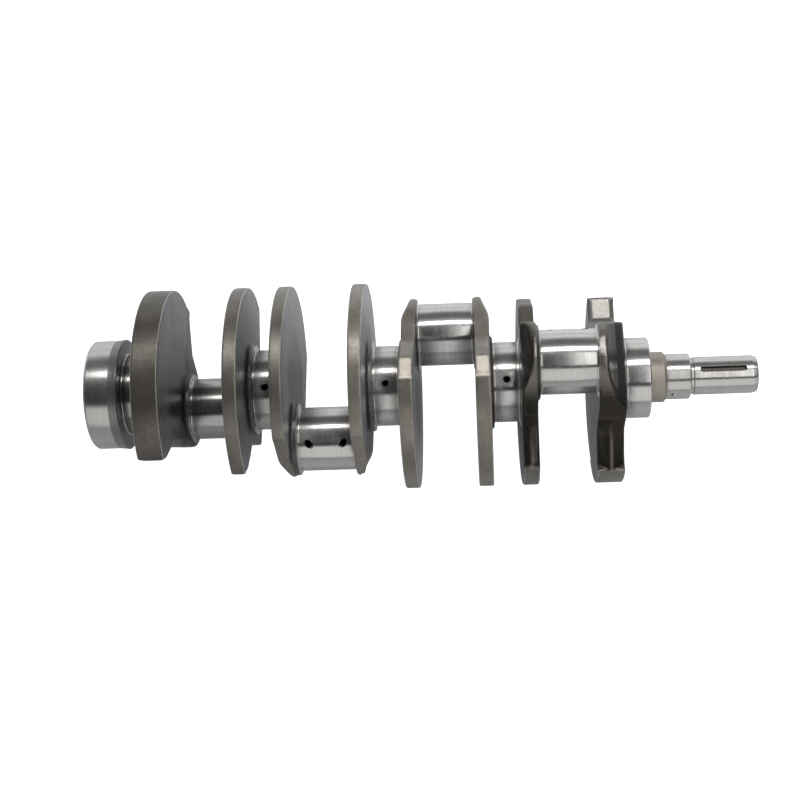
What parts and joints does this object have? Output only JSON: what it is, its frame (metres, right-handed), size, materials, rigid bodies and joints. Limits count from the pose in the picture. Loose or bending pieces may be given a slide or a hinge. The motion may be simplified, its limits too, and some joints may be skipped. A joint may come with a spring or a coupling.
{
  "type": "crankshaft",
  "caption": "Forged crankshaft for a V engine with ground journals, offset crankpins, plate counterweights, a keyed snout and a rear flange.",
  "frame": {"origin": "centre of main journal 3, on the main axis", "axes": "+X along the main axis to the snout at the front, +Z through crankpin 1 and the keyway, +Y through crankpin 2"},
  "size_m": [0.5577, 0.174, 0.174],
  "materials": {
    "ground_journal": "ground and polished",
    "forged_web": "as forged and shot blasted, with turned rims",
    "turned_drive": "dull, turned"
  },
  "bodies": {
    "root": {"rear_flange": "ground_journal", "main_journal_1": "ground_journal", "main_journal_2": "ground_journal", "main_journal_3": "ground_journal", "main_journal_4": "ground_journal", "main_journal_5": "ground_journal", "crankpin_1": "ground_journal", "crankpin_2": "ground_journal", "crankpin_3": "ground_journal", "crankpin_4": "ground_journal", "web_1": "forged_web", "web_2": "forged_web", "web_3": "forged_web", "web_4": "forged_web", "web_5": "forged_web", "web_6": "forged_web", "web_7": "forged_web", "web_8": "forged_web", "oil_pump_drive": "turned_drive", "timing_gear_seat": "ground_journal", "snout": "ground_journal"}
  },
  "joints": []
}
